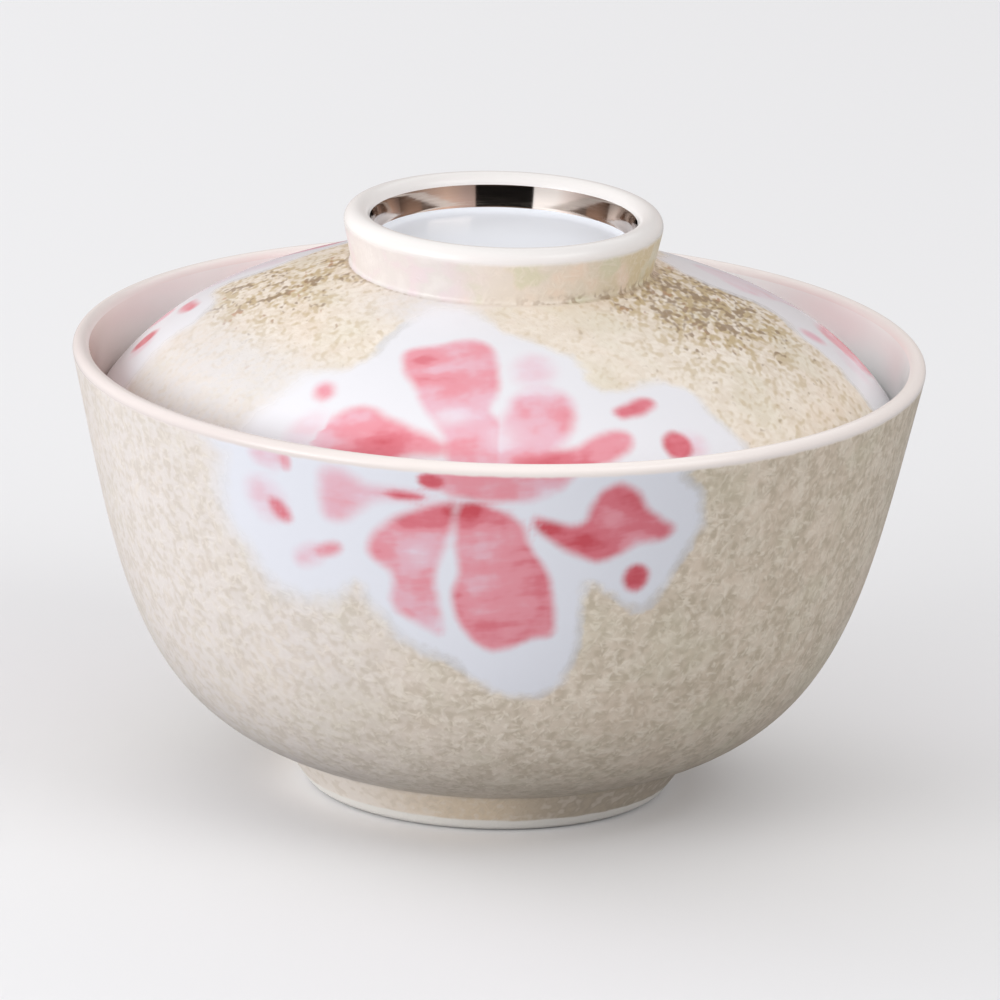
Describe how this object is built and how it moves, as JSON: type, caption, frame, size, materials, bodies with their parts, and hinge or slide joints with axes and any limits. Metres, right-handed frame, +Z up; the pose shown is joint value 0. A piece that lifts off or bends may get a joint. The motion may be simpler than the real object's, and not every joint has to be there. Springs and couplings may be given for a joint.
{
  "type": "lidded bowl",
  "caption": "Deep round porcelain rice bowl on a tapered foot ring, with a domed lid that rests inside its mouth and is lifted by a ring-shaped knob.",
  "frame": {"origin": "centre of the foot ring's base, where the bowl stands", "axes": "+Z up along the axis of both pieces, out of the bowl's mouth; -Y towards the middle of the front blossom; +X to its right"},
  "size_m": [0.15, 0.15, 0.1043],
  "materials": {
    "bowl_glaze": "clear glaze over a mottled beige ground with a pink underglaze blossom, white lip, unglazed foot edge",
    "lid_glaze": "clear glaze over a mottled beige ground with a pink underglaze blossom, white knob lip, silver band inside the knob"
  },
  "bodies": {
    "root": {"bowl": "bowl_glaze", "lid": "lid_glaze"}
  },
  "joints": []
}
